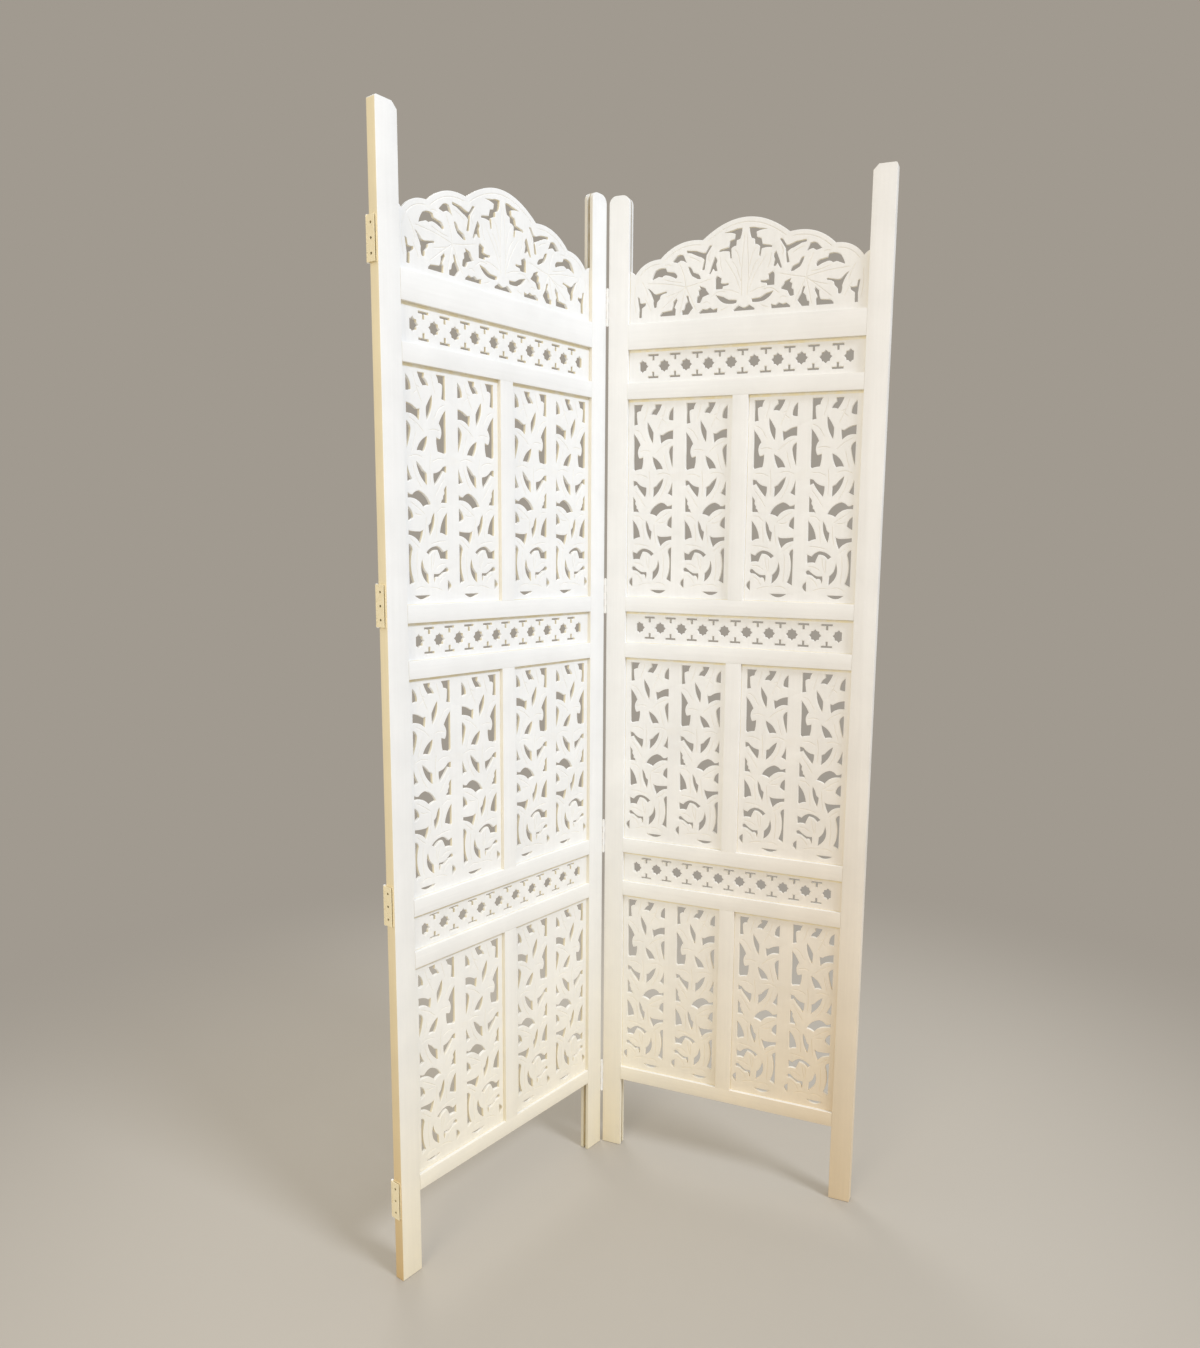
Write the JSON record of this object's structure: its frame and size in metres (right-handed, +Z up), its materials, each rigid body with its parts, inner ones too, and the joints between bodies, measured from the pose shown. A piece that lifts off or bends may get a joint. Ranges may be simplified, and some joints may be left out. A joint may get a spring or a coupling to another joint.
{
  "type": "carved jali screen",
  "caption": "Folding room screen of pierced, carved wood: hinged leaves stand in a V and hold vine boards, star strips and a lobed crest in grooved frames.",
  "frame": {"origin": "middle of the foot of the box round the screen as it stands open, on the floor", "axes": "+Z up; the left leaf lies along X with its front face towards -Y and its free edge towards -X; the right leaf swings forward from the centre hinges, 105 degrees from the left one"},
  "size_m": [0.6658, 0.5156, 1.83],
  "materials": {
    "frame_wood": "ivory paint, brushed on, satin",
    "carved_wood": "ivory paint over hand carving, satin",
    "hinge_steel": "pressed steel painted over in cream",
    "pin_steel": "steel wire painted over in cream",
    "screw_steel": "steel painted over in cream"
  },
  "bodies": {
    "left_leaf": {"left_hinge_post": "frame_wood", "left_outer_post": "frame_wood", "left_bottom_rail": "frame_wood", "left_lower_strip_sill_rail": "frame_wood", "left_lower_strip_head_rail": "frame_wood", "left_middle_strip_sill_rail": "frame_wood", "left_middle_strip_head_rail": "frame_wood", "left_upper_strip_sill_rail": "frame_wood", "left_top_rail": "frame_wood", "left_lower_muntin": "frame_wood", "left_middle_muntin": "frame_wood", "left_upper_muntin": "frame_wood", "left_lower_inner_vine_board": "carved_wood", "left_lower_outer_vine_board": "carved_wood", "left_middle_inner_vine_board": "carved_wood", "left_middle_outer_vine_board": "carved_wood", "left_upper_inner_vine_board": "carved_wood", "left_upper_outer_vine_board": "carved_wood", "left_lower_star_strip": "carved_wood", "left_middle_star_strip": "carved_wood", "left_upper_star_strip": "carved_wood", "left_crest_board": "carved_wood", "left_hinge_leaf_bottom": "hinge_steel", "left_hinge_leaf_lower": "hinge_steel", "left_hinge_leaf_upper": "hinge_steel", "left_hinge_leaf_top": "hinge_steel", "left_hinge_screws": "screw_steel", "outer_hinge_fixed_leaves": "hinge_steel", "hinge_pins": "pin_steel"},
    "right_leaf": {"right_hinge_post": "frame_wood", "right_outer_post": "frame_wood", "right_bottom_rail": "frame_wood", "right_lower_strip_sill_rail": "frame_wood", "right_lower_strip_head_rail": "frame_wood", "right_middle_strip_sill_rail": "frame_wood", "right_middle_strip_head_rail": "frame_wood", "right_upper_strip_sill_rail": "frame_wood", "right_top_rail": "frame_wood", "right_lower_muntin": "frame_wood", "right_middle_muntin": "frame_wood", "right_upper_muntin": "frame_wood", "right_lower_inner_vine_board": "carved_wood", "right_lower_outer_vine_board": "carved_wood", "right_middle_inner_vine_board": "carved_wood", "right_middle_outer_vine_board": "carved_wood", "right_upper_inner_vine_board": "carved_wood", "right_upper_outer_vine_board": "carved_wood", "right_lower_star_strip": "carved_wood", "right_middle_star_strip": "carved_wood", "right_upper_star_strip": "carved_wood", "right_crest_board": "carved_wood", "right_hinge_leaf_bottom": "hinge_steel", "right_hinge_leaf_lower": "hinge_steel", "right_hinge_leaf_upper": "hinge_steel", "right_hinge_leaf_top": "hinge_steel", "right_hinge_screws": "screw_steel"},
    "bottom_free_leaf": {"free_hinge_leaf_bottom": "hinge_steel"},
    "lower_free_leaf": {"free_hinge_leaf_lower": "hinge_steel"},
    "upper_free_leaf": {"free_hinge_leaf_upper": "hinge_steel"},
    "top_free_leaf": {"free_hinge_leaf_top": "hinge_steel"}
  },
  "joints": [
    {"name": "leaf_fold", "type": "hinge", "parent": "left_leaf", "child": "right_leaf", "pos_m": [0.18185, 0.23451, 0.9], "axis": [0, 0, 1], "range_deg": [-105, 75]},
    {"name": "bottom_free_leaf_turn", "type": "hinge", "parent": "left_leaf", "child": "bottom_free_leaf", "pos_m": [-0.33065, 0.25551, 0.144], "axis": [0, 0, -1], "range_deg": [0, 235]},
    {"name": "lower_free_leaf_turn", "type": "hinge", "parent": "left_leaf", "child": "lower_free_leaf", "pos_m": [-0.33065, 0.25551, 0.648], "axis": [0, 0, -1], "range_deg": [0, 235]},
    {"name": "upper_free_leaf_turn", "type": "hinge", "parent": "left_leaf", "child": "upper_free_leaf", "pos_m": [-0.33065, 0.25551, 1.118], "axis": [0, 0, -1], "range_deg": [0, 235]},
    {"name": "top_free_leaf_turn", "type": "hinge", "parent": "left_leaf", "child": "top_free_leaf", "pos_m": [-0.33065, 0.25551, 1.64], "axis": [0, 0, -1], "range_deg": [0, 235]}
  ]
}
